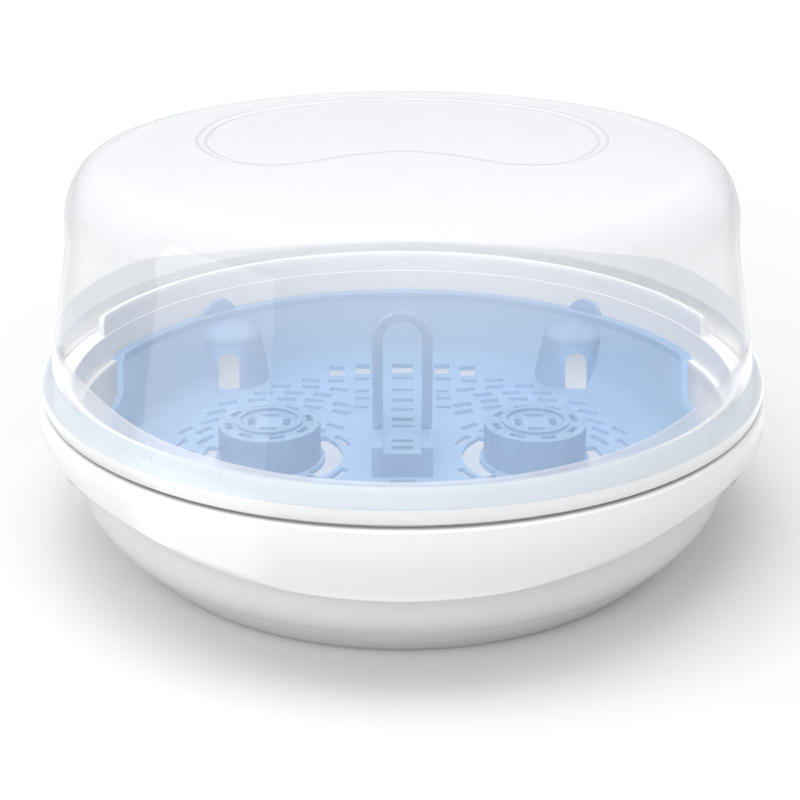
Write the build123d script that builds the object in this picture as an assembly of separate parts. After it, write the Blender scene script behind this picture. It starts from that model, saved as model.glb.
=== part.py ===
from build123d import *
import math
import os

# Round microwave steam steriliser for baby bottles: a white water bowl with a
# cool-touch skirt, a blue lift-out bottle tray with a lifting loop, a clear
# domed lid and two swing clips. Millimetres, +Z up, origin at the centre of the
# foot ring's resting plane, front towards -Y, clips at +X and -X.
# Profiles are (radius, height) points in the XZ plane.

# ---------------------------------------------------------------- shared sizes
SEAM = 65.0                # height of the parting line between lid and bowl
GAP = 0.05                 # gap between parts that rest on or in each other
BREAK = 0.01               # drop of a hollow, so that it breaks through the face below
SIDES = (-1, 1)
HALF_TURNS = (0, 180)      # right and left side of the product
STANDING = (Align.CENTER, Align.CENTER, Align.MIN)

# ---------------------------------------------------------------- bowl
SKIRT_R = 140.0            # widest radius, the outside of the cool-touch skirt
SKIRT_IN = SKIRT_R - 2.4   # inside of the skirt
SKIRT_DEEP = 26.5          # skirt depth below the seam at front and back
HEM_Z = SEAM - SKIRT_DEEP - 0.6    # hem of the skirt before its edge is shaped
SEAT_Z = SEAM + 0.1        # seat that carries the lid's lip
RIM_UNDER = 62.0           # underside of the bowl's outer rim
RIM_TOP = 63.4             # top of that rim, under the shadow groove
GROOVE_R = 135.5           # bottom of the shadow groove between lid and skirt
COLLAR_R = 130.7           # outside of the upstanding collar
COLLAR_TOP = 74.0
BOWL_IN = 128.25           # inner radius at the mouth of the bowl
SHELF_Z = 53.5             # shelf that carries the tray's rim
SHELF_IN = 125.9           # inner radius of the shelf
FINGER_HALF = 16.0         # half angle of the finger gaps in the collar, degrees

# skirt depth below the seam: (degrees from front or back, depth)
SKIRT_DEPTHS = ((0, SKIRT_DEEP), (13, 25.6), (21, 23.6), (30, 21.0), (42, 16.6),
                (50, 14.4), (57, 13.1), (66, 12.6), (78, 12.5), (90, 12.5))
EDGE_ANGLES = range(-180, 180, 5)  # stations of the skirt's edge, 0 at the front
EDGE_CUT_IN, EDGE_CUT_OUT, EDGE_CUT_LOW = 134.2, 146.0, 20.0   # radii and foot of its cutter

# ---------------------------------------------------------------- clips and hinge
CLIP_HALF = 15.0           # half width of a clip's plate
CLIP_SIDE = 0.6            # side gap between a clip and the parts round it
CLIP_ZONE = (140, 0, 60)   # centre of the boxes that trim the clip and its recesses
PIN_X = 132.4              # clip hinge, distance from the centre
PIN_Z = 44.0               # clip hinge, height
PIN_R = 1.3                # trunnion
PIN_CLEAR = 0.06           # radial running clearance of the hinge
BOSS_R = 2.4               # boss round the hinge line
LUG_IN = 22.3              # hinge lugs, inner and outer faces from the centre plane
LUG_OUT = 25.3

# ---------------------------------------------------------------- tray
TRAY_R = 127.7             # outside of the tray's rim
TRAY_TOP = 56.0            # top of the tray's rim
TRAY_SEAT = SHELF_Z + GAP  # underside of the tray's rim
TRAY_T = 2.0               # tray wall
TRAY_FLOOR = 27.0          # top face of the tray's floor
TRAY_UNDER = TRAY_FLOOR - TRAY_T
# underside of the curved foot of the wall, from the floor outwards
TRAY_FOOT = ((101.5, TRAY_UNDER), (105.6, 25.4), (109.4, 27.0), (112.5, 29.7),
             (114.9, 33.0), (116.3, 35.6))
WALL_HEAD = (125.1, SHELF_Z - 1.5)     # top of the wall's outer face, under the rim
# half outline of a finger notch: (distance from its middle, height)
NOTCH = ((43.6, 57.5), (41.4, 55.6), (38.2, 52.6), (34.2, 49.6),
         (30.0, 46.4), (26.0, 43.8), (20.0, 42.2), (10.0, 41.8))

GUIDE_ANGLES = (49.0, 131.0, 229.0, 311.0)     # wall guides, degrees from +X
GUIDE_CENTRE_R = 117.5     # distance of a guide's axis from the tray's centre
GUIDE_R = 13.4             # radius of a guide below its domed top
GUIDE_FOOT = 17.6          # radius of a guide at the floor
GUIDE_TOP = 53.4
WINDOW_TOP = 43.4          # top of the arched window in a guide
WINDOW_R = 4.8             # radius of its arch
WINDOW_DEEP = 24.0
TAB_R, TAB_T = 8.3, 2.4    # round tab on the rim outside each guide

POST_X = 53.0              # the two bottle posts, left and right of the centre
POST_R = 20.4
POST_TOP = 42.0

PLINTH_LONG = 40.0         # raised block under the lifting loop, along Y
PLINTH_TOP = 37.0
RAIL_TOP = 39.6            # rails along its two sides, which carry the loop's legs
RAIL_W = 4.4

# openings along the middle: (distance from the centre, length along Y)
PLINTH_OPENINGS = ((7.4, 2.6), (14.2, 3.2))
FLOOR_OPENINGS = ((25.6, 5.6), (49.0, 3.4), (60.0, 3.4), (72.0, 3.0))
# row of openings across the foot of the wall: (x, distance from the centre, width)
WALL_OPENINGS = ((-30.0, 95.0, 7.0), (-18.2, 97.4, 7.0), (0, 98.6, 9.6),
                 (18.2, 97.4, 7.0), (30.0, 95.0, 7.0))
# steam slots in rings round a post: (ring radius, half angle, width, angles)
STEAM_RINGS = ((32.6, 9.5, 3.0, range(-150, 151, 30)), (39.6, 6.4, 2.8, range(-135, 136, 22)),
               (46.0, 5.2, 2.8, range(-118, 119, 17)), (53.5, 4.6, 4.0, range(-120, 121, 15)),
               (61.0, 3.9, 4.0, range(-124, 125, 12)), (68.5, 3.4, 4.0, range(-126, 127, 11)),
               (76.5, 3.0, 4.0, range(-121, 122, 10)), (84.5, 2.8, 4.0, range(-118, 119, 9)))

# ---------------------------------------------------------------- lifting loop
LOOP_W = 23.8              # outside width
LOOP_BAR = 4.2             # width of its bar
LOOP_T = 3.6               # thickness of its bar, with the gaps
LOOP_TOP = 88.6
PEG_X = 9.3                # pegs of the loop's legs
PEG_W = 2.8
PEG_DEEP = 5.0             # depth of a peg in the rail

# ---------------------------------------------------------------- lid
LID_T = 1.9                # lid wall
LID_TOP = 153.0            # edge of the lid's crown
LID_CROWN = 1.6            # rise of the crown above that edge
CROWN_R = 109.0            # radius of that edge
SHOULDER_R = 125.4         # outside of the wall where the rounded shoulder starts
SHOULDER_Z = 130.0
# crown from its edge to the axis: (radius, rise above the edge)
CROWN = ((CROWN_R, 0), (75.0, 0.8), (40.0, 1.35), (0, LID_CROWN))
SHOULDER_ANGLES = (0, 12, 24, 36, 48, 60, 72, 81, 90)
PANEL_DEEP = 0.7           # recess of the bean-shaped panel
# right half of the panel's outline, front to back: (x, y)
PANEL = ((0, -12.4), (16, -20.5), (40, -33.9), (62, -26.0), (75.5, -2.0),
         (78.0, 24.0), (72.0, 50.0), (55.0, 73.0), (30.0, 88.0), (0, 93.0))


# ================================================================ helpers
def in_xz(points):
    return [(radius, 0, z) for radius, z in points]


def straight(*points):
    """Straight run of a profile."""
    return Line(*in_xz(points)) if len(points) == 2 else Polyline(*in_xz(points))


def curve(*points):
    """Smooth run of a profile."""
    return Spline(*in_xz(points))


def spun(*runs):
    """Solid of revolution about Z from runs that close a profile."""
    edges = [edge for run in runs for edge in run.edges()]
    return revolve(make_face(Wire(edges)), Axis.Z, 360)


def xz_face(points):
    return make_face(Polyline(*in_xz(points), close=True))


def ring(points):
    """Solid of revolution about Z from the corners of a profile."""
    return revolve(xz_face(points), Axis.Z, 360)


def turned(shape, angle):
    return shape.rotate(Axis.Z, angle)


def polar(radius, degrees):
    angle = math.radians(degrees)
    return radius * math.cos(angle), radius * math.sin(angle)


def sector(half, r_in, r_out, z_low, z_high):
    """A wedge of a ring, centred on +X."""
    with BuildPart() as wedge:
        with BuildSketch(Plane.XY.offset(z_low)):
            with BuildLine():
                inner = RadiusArc(polar(r_in, -half), polar(r_in, half), -r_in)
                side = Line(inner @ 1, polar(r_out, half))
                outer = RadiusArc(side @ 1, polar(r_out, -half), r_out)
                Line(outer @ 1, inner @ 0)
            make_face()
        extrude(amount=z_high - z_low)
    return wedge.part


def cross_cylinder(radius, length, x, z):
    """Cylinder along Y, centred on the XZ plane."""
    return Cylinder(radius, length).rotate(Axis.X, 90).translate((x, 0, z))


def clip_zone(length, width):
    """Box round the right-hand clip, for trimming."""
    return Box(length, width, 60).translate(CLIP_ZONE)


def clip_recess(r_in, z_low, z_high):
    """Space cut from the bowl or the lid for the right-hand clip."""
    wedge = sector(20, r_in, 146.0, z_low, z_high)
    return wedge & clip_zone(60, 2 * (CLIP_HALF + CLIP_SIDE))


# ================================================================ water bowl
def bowl_shell():
    """Bowl, rim, collar and skirt as one turned shell."""
    foot = straight((0, 2.2), (94.0, 2.2), (96.5, 0.0), (102.4, 0.0))
    toe = curve((102.4, 0.0), (104.6, 0.7), (107.2, 2.4), (112.4, 7.8), (117.0, 13.2),
                (118.7, 15.4))
    step = straight((118.7, 15.4), (119.6, 15.8))
    wall = curve((119.6, 15.8), (121.2, 17.6), (123.0, 20.2), (124.6, 22.8), (126.1, 26.0),
                 (127.4, 30.0), (128.6, 36.0), (129.9, 46.0), (130.7, 58.0),
                 (130.8, RIM_UNDER))
    skirt_in = straight((130.8, RIM_UNDER), (SKIRT_IN, RIM_UNDER), (SKIRT_IN, HEM_Z),
                        (SKIRT_R - 0.9, HEM_Z))
    skirt_out = curve((SKIRT_R - 0.9, HEM_Z), (SKIRT_R - 0.35, 45.0), (SKIRT_R, 52.5),
                      (SKIRT_R - 0.25, 58.6), (SKIRT_R - 0.7, RIM_TOP - 1.8))
    brow = curve((SKIRT_R - 0.7, RIM_TOP - 1.8), (SKIRT_R - 1.35, RIM_TOP - 0.5),
                 (SKIRT_R - 2.6, RIM_TOP))
    groove = straight((SKIRT_R - 2.6, RIM_TOP), (GROOVE_R, RIM_TOP), (GROOVE_R, SEAT_Z),
                      (COLLAR_R, SEAT_Z), (COLLAR_R - 0.1, COLLAR_TOP - 0.9))
    collar = curve((COLLAR_R - 0.1, COLLAR_TOP - 0.9), (COLLAR_R - 0.4, COLLAR_TOP - 0.25),
                   (COLLAR_R - 1.2, COLLAR_TOP), (BOWL_IN + 0.25, COLLAR_TOP - 0.25),
                   (BOWL_IN, COLLAR_TOP - 0.9))
    mouth = straight((BOWL_IN, COLLAR_TOP - 0.9), (BOWL_IN, 65.2), (BOWL_IN - 0.25, 64.9),
                     (BOWL_IN - 0.25, SHELF_Z), (SHELF_IN, SHELF_Z),
                     (SHELF_IN, SHELF_Z - 1.2))
    inside = curve((SHELF_IN, SHELF_Z - 1.2), (127.0, 46.5), (126.2, 38.0), (124.9, 31.0),
                   (122.6, 25.4), (118.0, 19.0), (112.0, 12.0), (104.0, 6.6), (95.0, 5.2))
    floor = straight((95.0, 5.2), (0, 4.8), (0, 2.2))
    return spun(foot, toe, step, wall, skirt_in, skirt_out, brow, groove, collar, mouth,
                inside, floor)


def skirt_edge_z(angle):
    """Height of the skirt's lower edge, interpolated between the depth stations."""
    off_axis = min(abs(angle), 180 - abs(angle))
    for (start, depth), (end, next_depth) in zip(SKIRT_DEPTHS, SKIRT_DEPTHS[1:]):
        if start <= off_axis <= end:
            share = (off_axis - start) / (end - start)
            return SEAM - (depth + (next_depth - depth) * share)


def closed_spline(radius, heights):
    """Closed curve round Z with one height per station of the skirt's edge."""
    points = [Vector(*polar(radius, angle - 90), z) for angle, z in zip(EDGE_ANGLES, heights)]
    return Edge.make_spline(points, periodic=True)


def skirt_edge_cutter():
    """Ring under the skirt whose top follows the skirt's lower edge."""
    heights = [skirt_edge_z(angle) for angle in EDGE_ANGLES]
    level = [EDGE_CUT_LOW] * len(heights)
    high_in = closed_spline(EDGE_CUT_IN, heights)
    high_out = closed_spline(EDGE_CUT_OUT, heights)
    low_in = closed_spline(EDGE_CUT_IN, level)
    low_out = closed_spline(EDGE_CUT_OUT, level)
    pairs = ((high_in, high_out), (low_in, low_out), (high_in, low_in), (high_out, low_out))
    cutter = Solid(Shell([Face.make_surface_from_curves(*pair) for pair in pairs]))
    # the ruled faces may close into an inside-out solid
    if cutter.volume < 0:
        cutter = -cutter
    return cutter


def make_bowl():
    # the skirt's lower edge is deep at front and back, shallow at the sides
    bowl = bowl_shell() - skirt_edge_cutter()

    # gaps in the collar, so that fingers reach the tray
    finger_gap = sector(FINGER_HALF, 120.0, 131.4, SEAT_Z, 80.0)
    for angle in HALF_TURNS:
        bowl = bowl - turned(finger_gap, angle)

    # hinge lugs under the rim, hinge holes and a notch in the skirt for each clip
    lug_face = xz_face([(121.9, 24.0), (127.9, 24.0), (134.6, 52.6), (134.6, 62.3),
                        (127.3, 62.3), (126.3, 46.0), (125.0, 34.0), (123.3, 28.0)])
    lug = extrude(lug_face, amount=LUG_OUT - LUG_IN, dir=(0, 1, 0)).translate((0, LUG_IN, 0))
    other_lug = lug.mirror(Plane.XZ)
    hole = cross_cylinder(PIN_R + PIN_CLEAR, 80, PIN_X, PIN_Z)
    notch = clip_recess(136.9, 49.0, 70.0)
    for angle in HALF_TURNS:
        bowl = bowl + turned(lug, angle) + turned(other_lug, angle)
        bowl = bowl - turned(hole, angle) - turned(notch, angle)
    return bowl


# ============================================================== bottle tray
def tray_skin():
    """Rim, tapered wall, curved foot of the wall and floor as one turned shell."""
    rim = straight((TRAY_R, TRAY_TOP - 0.5), (TRAY_R, TRAY_SEAT), (125.3, TRAY_SEAT),
                   WALL_HEAD, TRAY_FOOT[-1])
    foot = curve(*reversed(TRAY_FOOT))
    floor = straight(TRAY_FOOT[0], (0, TRAY_UNDER), (0, TRAY_FLOOR), (101.5, TRAY_FLOOR))
    cove = curve((101.5, TRAY_FLOOR), (105.0, 27.4), (108.3, 28.8), (111.0, 31.2),
                 (113.1, 34.2), (114.4, 36.8))
    wall = straight((114.4, 36.8), (123.0, SHELF_Z - 1.0), (123.4, TRAY_TOP - 0.6),
                    (124.0, TRAY_TOP), (TRAY_R - 0.5, TRAY_TOP), (TRAY_R, TRAY_TOP - 0.5))
    return spun(rim, foot, floor, cove, wall)


def cut_finger_notches(tray):
    """Finger notches through the wall at the two sides."""
    outline = NOTCH + tuple((-y, z) for y, z in reversed(NOTCH))
    face = make_face(Polyline(*[(96, y, z) for y, z in outline], close=True))
    notch = extrude(face, amount=40, dir=(1, 0, 0))
    for angle in HALF_TURNS:
        tray = tray - turned(notch, angle)
    return tray


def guide_body(shrink, top):
    """Tapered column with a domed top, about the Z axis."""
    radius = GUIDE_R - shrink
    dome = 7.0 - shrink * 0.4
    spring = top - dome
    side = straight((0, TRAY_UNDER), (GUIDE_FOOT - shrink, TRAY_UNDER), (radius, spring))
    cap = curve(*[(radius * math.cos(math.radians(degrees)),
                   spring + dome * math.sin(math.radians(degrees)))
                  for degrees in range(0, 91, 18)])
    axis = straight((0, top), (0, TRAY_UNDER))
    return spun(side, cap, axis)


def guide_window():
    """Arched opening on the Z axis, running along Y."""
    straight_h = WINDOW_TOP - WINDOW_R - TRAY_FLOOR
    window = Box(2 * WINDOW_R, WINDOW_DEEP, straight_h, align=STANDING)
    return window + cross_cylinder(WINDOW_R, WINDOW_DEEP, 0, straight_h)


def add_guides(tray):
    """Domed columns cut off by the wall and hollow from below, with rim tabs."""
    column = guide_body(0.0, GUIDE_TOP)
    hollow = guide_body(TRAY_T, GUIDE_TOP - TRAY_T).translate((0, 0, -BREAK))
    within_wall = ring([(0, 0), (98.0, 0), *TRAY_FOOT, WALL_HEAD, (WALL_HEAD[0], 80), (0, 80)])
    core = ring([(0, 0), (121.0, 0), (121.0, 80), (0, 80)])
    above_seat = ring([(110, TRAY_SEAT), (TRAY_R, TRAY_SEAT), (TRAY_R, 80), (110, 80)])
    for angle in GUIDE_ANGLES:
        x, y = polar(GUIDE_CENTRE_R, angle)
        tray = tray + (column.translate((x, y, 0)) & within_wall)
        tray = tray - (hollow.translate((x, y, 0)) & core)
        # the window is on the side nearer the XZ plane
        towards_middle = -1 if y > 0 else 1
        window = guide_window().translate((x, y + towards_middle * 14.0, TRAY_FLOOR + 0.02))
        tray = tray - (window & core)
        tab = Cylinder(TAB_R, TAB_T).rotate(Axis.Y, 90)
        tab = turned(tab.translate((TRAY_R - 1.7, 0, 53.5)), angle)
        tray = tray + (tab & above_seat)
    return tray


def add_posts(tray):
    """Bottle posts: hollow cylinders closed on top, with a raised ring."""
    height = POST_TOP - TRAY_FLOOR
    for side in SIDES:
        x = side * POST_X
        post = Cylinder(POST_R, height + TRAY_T, align=STANDING)
        hollow = Cylinder(POST_R - TRAY_T, height, align=STANDING)
        tray = tray + post.translate((x, 0, TRAY_UNDER))
        tray = tray - hollow.translate((x, 0, TRAY_UNDER - BREAK))
        lip = ring([(11.6, POST_TOP - 0.1), (13.4, POST_TOP - 0.1),
                    (13.4, POST_TOP + 1.2), (11.6, POST_TOP + 1.2)])
        tray = tray + lip.translate((x, 0, 0))
    return tray


def add_plinth(tray):
    """Hollow plinth of the lifting loop, with a rail along each side."""
    height = PLINTH_TOP - TRAY_FLOOR
    plinth = Box(LOOP_W, PLINTH_LONG, height + TRAY_T, align=STANDING)
    hollow = Box(LOOP_W - 2 * TRAY_T, PLINTH_LONG - 2 * TRAY_T, height, align=STANDING)
    tray = tray + plinth.translate((0, 0, TRAY_UNDER))
    tray = tray - hollow.translate((0, 0, TRAY_UNDER - BREAK))
    for side in SIDES:
        rail = Box(RAIL_W, PLINTH_LONG, RAIL_TOP - TRAY_FLOOR, align=STANDING)
        tray = tray + rail.translate((side * (LOOP_W - RAIL_W) / 2, 0, TRAY_FLOOR))
    return tray


def opening(width, length, x, y, z=TRAY_FLOOR, height=8):
    """Box cutter centred on the face it opens."""
    return Box(width, length, height).translate((x, y, z))


def straight_openings():
    """Cutters for the loop's sockets and the straight openings."""
    cuts = [opening(PEG_W, LOOP_T, side * PEG_X, 0, RAIL_TOP, 12) for side in SIDES]
    for side in SIDES:
        for y, length in PLINTH_OPENINGS:
            cuts.append(opening(8.4, length, 0, side * y, PLINTH_TOP))
        for y, length in FLOOR_OPENINGS:
            cuts.append(opening(9.6, length, 0, side * y))
        for x, y, width in WALL_OPENINGS:
            cuts.append(opening(width, 11.0, x, side * y, height=14))
            cuts.append(opening(width, 3.0, x, side * (y - 12.0)))
        for x in (-17.8, 17.8):
            for y in (70.5, 62.0, 52.0):
                cuts.append(opening(6.4, 2.6, x, side * y))
    return cuts


def steam_slots():
    """(radius, half angle, width, angle) of the ring slots that fit the floor."""
    guides = [polar(GUIDE_CENTRE_R, angle) for angle in GUIDE_ANGLES]
    slots = []
    for radius, half, width, angles in STEAM_RINGS:
        for angle in angles:
            along, y = polar(radius, angle)
            x = POST_X + along
            reach = math.hypot(x, y) + half * radius * math.pi / 360
            to_guide = min(math.hypot(x - gx, y - gy) for gx, gy in guides)
            by_wall_openings = abs(y) > 73 and x < 36.0
            if not (reach > 98.5 or to_guide < GUIDE_FOOT + 5.0 or x < 24.0
                    or by_wall_openings):
                slots.append((radius, half, width, angle))
    return slots


def post_openings():
    """Cutters for the curved slots round the posts and in their tops."""
    # 0 degrees points away from the tray's centre, 180 towards it
    floor_slots = [(POST_R + 1.6 + width / 2, half, width, angle)
                   for angle, half, width in ((180, 44, 7.0), (0, 22, 5.4))]
    floor_slots += [(26.0, 7.5, 3.0, angle)
                    for angle in (48, 74, 100, 126, 234, 260, 286, 312)]
    floor_slots += steam_slots()
    # inside and outside the raised ring, with 0 degrees at +X on both posts
    top_slots = [(7.0, 26, 3.0, angle) for angle in range(0, 360, 90)]
    top_slots += [(16.3, 11, 2.6, angle) for angle in range(15, 360, 45)]

    cuts = []
    for side in SIDES:
        placed = [(*slot, angle if side > 0 else 180 - angle, TRAY_FLOOR)
                  for *slot, angle in floor_slots]
        placed += [(*slot, POST_TOP) for slot in top_slots]
        for radius, half, width, angle, z in placed:
            slot = sector(half, radius - width / 2, radius + width / 2, z - 6, z + 6)
            cuts.append(turned(slot, angle).translate((side * POST_X, 0, 0)))
    return cuts


def make_tray():
    tray = cut_finger_notches(tray_skin())
    tray = add_guides(tray)
    tray = add_posts(tray)
    tray = add_plinth(tray)
    return tray.cut(*straight_openings(), *post_openings())


def make_loop():
    """Hairpin lifting loop standing across the plinth, its legs plugged into the sockets."""
    outer = LOOP_W / 2
    inner = outer - LOOP_BAR
    foot = RAIL_TOP + GAP
    spring = LOOP_TOP - outer
    with BuildPart() as hairpin:
        with BuildSketch(Plane.XZ.offset(-LOOP_T / 2 + GAP)):
            with BuildLine():
                RadiusArc((-outer, spring), (outer, spring), outer)
                Polyline((outer, spring), (outer, foot), (inner, foot), (inner, spring))
                RadiusArc((inner, spring), (-inner, spring), -inner)
                Polyline((-inner, spring), (-inner, foot), (-outer, foot), (-outer, spring))
            make_face()
        extrude(amount=LOOP_T - 2 * GAP)
    loop = hairpin.part
    for side in SIDES:
        # the peg runs a little way up into the leg
        peg = Box(PEG_W - 2 * GAP, LOOP_T - 2 * GAP, PEG_DEEP + 0.2, align=STANDING)
        loop = loop + peg.translate((side * PEG_X, 0, RAIL_TOP - PEG_DEEP))
    return loop


# ===================================================================== lid
def crown_points(drop):
    """Crown from its edge to the axis, lowered by drop."""
    return [(radius, LID_TOP + rise - drop) for radius, rise in CROWN]


def shoulder_points(inset):
    """Quarter ellipse from the wall up to the edge of the crown."""
    width = SHOULDER_R - CROWN_R - inset
    height = LID_TOP - SHOULDER_Z - inset
    return [(CROWN_R + width * math.cos(math.radians(degrees)),
             SHOULDER_Z + height * math.sin(math.radians(degrees)))
            for degrees in SHOULDER_ANGLES]


def lid_shell():
    foot = SEAT_Z + GAP
    lip = straight((134.9, foot), (138.1, foot), (138.55, foot + 0.45))
    skirt = curve((138.55, foot + 0.45), (138.6, 67.4), (138.1, 70.2), (137.3, 72.2),
                  (136.1, 74.0), (134.8, 75.4), (133.6, 76.4))
    wall = curve((133.6, 76.4), (133.2, 77.6), (132.7, 82.0), (131.8, 88.5), (130.5, 95.5),
                 (128.8, 105.0), (126.9, 115.0), (125.8, 123.0), (SHOULDER_R, SHOULDER_Z))
    shoulder = curve(*shoulder_points(0))
    crown = curve(*crown_points(0))
    axis = straight((0, LID_TOP + LID_CROWN), (0, LID_TOP + LID_CROWN - LID_T))
    crown_in = curve(*reversed(crown_points(LID_T)))
    shoulder_in = curve(*reversed(shoulder_points(LID_T)))
    wall_in = curve((SHOULDER_R - LID_T, SHOULDER_Z), (123.9, 123.0), (125.0, 115.0),
                    (126.9, 105.0), (128.6, 95.5), (129.9, 88.5), (130.8, 82.0),
                    (131.3, 77.6), (131.5, 75.4))
    skirt_in = curve((131.5, 75.4), (132.6, 74.3), (133.9, 72.6), (134.7, 70.6),
                     (134.9, 69.0))
    lip_in = straight((134.9, 69.0), (134.9, foot))
    return spun(lip, skirt, wall, shoulder, crown, axis, crown_in, shoulder_in, wall_in,
                skirt_in, lip_in)


def panel_recess():
    """Bean-shaped recess whose floor follows the crown."""
    outline = PANEL + tuple((-x, y) for x, y in reversed(PANEL[1:-1]))
    edge = Edge.make_spline([Vector(x, y, 0) for x, y in outline], periodic=True)
    face = Face(Wire([edge])).translate((0, 0, LID_TOP - 5))
    above_floor = ring([*reversed(crown_points(PANEL_DEEP)),
                        (CROWN_R, LID_TOP + 8), (0, LID_TOP + 8)])
    return extrude(face, amount=20, dir=(0, 0, 1)) & above_floor


def make_lid():
    lid = lid_shell() - panel_recess()
    # recesses in the lip for the clips
    notch = clip_recess(136.75, 60.0, 70.9)
    for angle in HALF_TURNS:
        lid = lid - turned(notch, angle)
    return lid


# =================================================================== clips
def make_clip():
    """Right-hand clip: curved plate, web to the hinge, boss, trunnion and thumb ridges."""
    plate = ring([(137.25, 50.5), (139.7, 50.5), (139.85, 56.0), (139.6, 61.0),
                  (139.3, 64.0), (138.95, 67.0), (138.5, 69.4), (137.9, 70.4),
                  (137.3, 70.4), (137.0, 69.8), (137.0, 65.0), (137.25, 63.5)])
    plate = plate & clip_zone(40, 2 * CLIP_HALF)
    web = xz_face([(130.9, 46.0), (131.6, 41.9), (134.6, 43.2), (139.8, 50.6),
                   (139.8, 56.0), (137.3, 56.0), (137.3, 51.2), (134.0, 46.2)])
    web = extrude(web, amount=CLIP_HALF, dir=(0, 1, 0), both=True)
    web = web & ring([(100, 30), (139.75, 30), (139.75, 70), (100, 70)])
    boss = cross_cylinder(BOSS_R, 2 * (LUG_IN - 0.4), PIN_X, PIN_Z)
    trunnion = cross_cylinder(PIN_R, 2 * (LUG_OUT - 0.2), PIN_X, PIN_Z)
    clip = plate + web + boss + trunnion
    for z in (58.0, 61.0):
        ridge = ring([(139.4, z - 0.5), (140.1, z), (139.4, z + 0.5)])
        clip = clip + (ridge & clip_zone(40, 22))
    return clip


clip_right = make_clip()
parts = {
    "base_bowl": make_bowl(),
    "steam_tray": make_tray(),
    "tray_loop": make_loop(),
    "lid": make_lid(),
    "clip_right": clip_right,
    "clip_left": turned(clip_right, 180),
}

os.makedirs("parts", exist_ok=True)
for name, shape in parts.items():
    export_step(shape, "parts/" + name + ".step")
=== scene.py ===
# Microwave steam steriliser: water bowl with a cool-touch skirt, blue bottle
# tray with a lifting loop, clear domed lid, two swing clips. It stands on z = 0,
# centred on the Z axis. The front is -Y, where the camera is, and the clips are
# on the +X and -X sides. Shapes are in millimetres until mesh_from() turns them
# into metres; materials, lights and the camera are in metres.

import math

import bpy
import numpy as np
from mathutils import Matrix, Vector


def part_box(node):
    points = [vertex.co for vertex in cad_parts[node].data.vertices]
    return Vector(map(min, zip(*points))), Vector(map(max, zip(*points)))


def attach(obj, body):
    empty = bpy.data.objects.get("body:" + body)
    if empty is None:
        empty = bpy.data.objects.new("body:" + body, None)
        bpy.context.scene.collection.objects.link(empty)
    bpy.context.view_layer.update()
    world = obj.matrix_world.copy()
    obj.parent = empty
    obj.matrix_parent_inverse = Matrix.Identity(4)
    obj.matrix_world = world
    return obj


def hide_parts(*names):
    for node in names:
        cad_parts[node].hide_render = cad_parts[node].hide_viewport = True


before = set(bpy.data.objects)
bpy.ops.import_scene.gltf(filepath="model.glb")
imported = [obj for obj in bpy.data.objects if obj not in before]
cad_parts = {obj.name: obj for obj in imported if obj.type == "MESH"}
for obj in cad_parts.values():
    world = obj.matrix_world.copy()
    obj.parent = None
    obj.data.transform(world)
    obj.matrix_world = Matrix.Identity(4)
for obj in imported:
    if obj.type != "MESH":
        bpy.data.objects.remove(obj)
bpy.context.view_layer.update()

MM = 0.001


def box_mm(node):
    lo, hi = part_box(node)
    return lo / MM, hi / MM


bowl_hi = box_mm("base_bowl")[1]
lid_lo, lid_hi = box_mm("lid")
loop_lo, loop_hi = box_mm("tray_loop")

SKIRT_R = bowl_hi.y                 # outside of the skirt
COLLAR_TOP = bowl_hi.z              # top of the upstanding collar
SEAM = COLLAR_TOP - 9.0             # height of the parting line
SEAT = lid_lo.z - 0.05              # height of the seat under the lid's lip
RIM_TOP = SEAT - 1.7                # top of the bowl's outer rim
LIP_R = lid_hi.y                    # outside of the lid's lip
CROWN_RISE = 1.6                    # rise of the crown from its edge to its middle
LID_TOP = lid_hi.z - CROWN_RISE     # height of the crown's edge
PLATE_HALF = 15.0                   # half width of a clip's plate
NOTCH_Y = PLATE_HALF + 0.6          # half width of a clip's notch


# ------------------------------------------------------------------- curves
def hermite(t, span, start, start_slope, end, end_slope):
    """Cubic from start to end, t from 0 to 1, with slopes per unit of span."""
    return ((2 * t**3 - 3 * t**2 + 1) * start + (t**3 - 2 * t**2 + t) * span * start_slope
            + (-2 * t**3 + 3 * t**2) * end + (t**3 - t**2) * span * end_slope)


def curve_table(table, x):
    """Smooth interpolation through (x, y) points without overshoot, level at both ends."""
    xs, ys = zip(*table)
    if x <= xs[0]:
        return ys[0]
    if x >= xs[-1]:
        return ys[-1]

    def slope(k):
        if k == 0 or k == len(xs) - 1:
            return 0.0
        before = (ys[k] - ys[k - 1]) / (xs[k] - xs[k - 1])
        after = (ys[k + 1] - ys[k]) / (xs[k + 1] - xs[k])
        return 0.0 if before * after <= 0 else 2 * before * after / (before + after)

    i = max(k for k in range(len(xs) - 1) if xs[k] <= x)
    span = xs[i + 1] - xs[i]
    return hermite((x - xs[i]) / span, span, ys[i], slope(i), ys[i + 1], slope(i + 1))


def spline(points, count):
    """count points evenly along a smooth curve through (r, z) points, ends included."""
    knots = [np.array(q, float) for q in points]
    along = [0.0]
    for start, end in zip(knots, knots[1:]):
        along.append(along[-1] + float(np.linalg.norm(end - start)))
    last = len(knots) - 1

    def slope(k):
        lo, hi = max(k - 1, 0), min(k + 1, last)
        return (knots[hi] - knots[lo]) / (along[hi] - along[lo])

    out = []
    for k in range(count):
        s = along[-1] * k / (count - 1)
        i = min(last - 1, max(j for j in range(last + 1) if along[j] <= s + 1e-9))
        span = along[i + 1] - along[i]
        r, z = hermite((s - along[i]) / span, span, knots[i], slope(i), knots[i + 1], slope(i + 1))
        out.append((float(r), float(z)))
    return out


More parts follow.
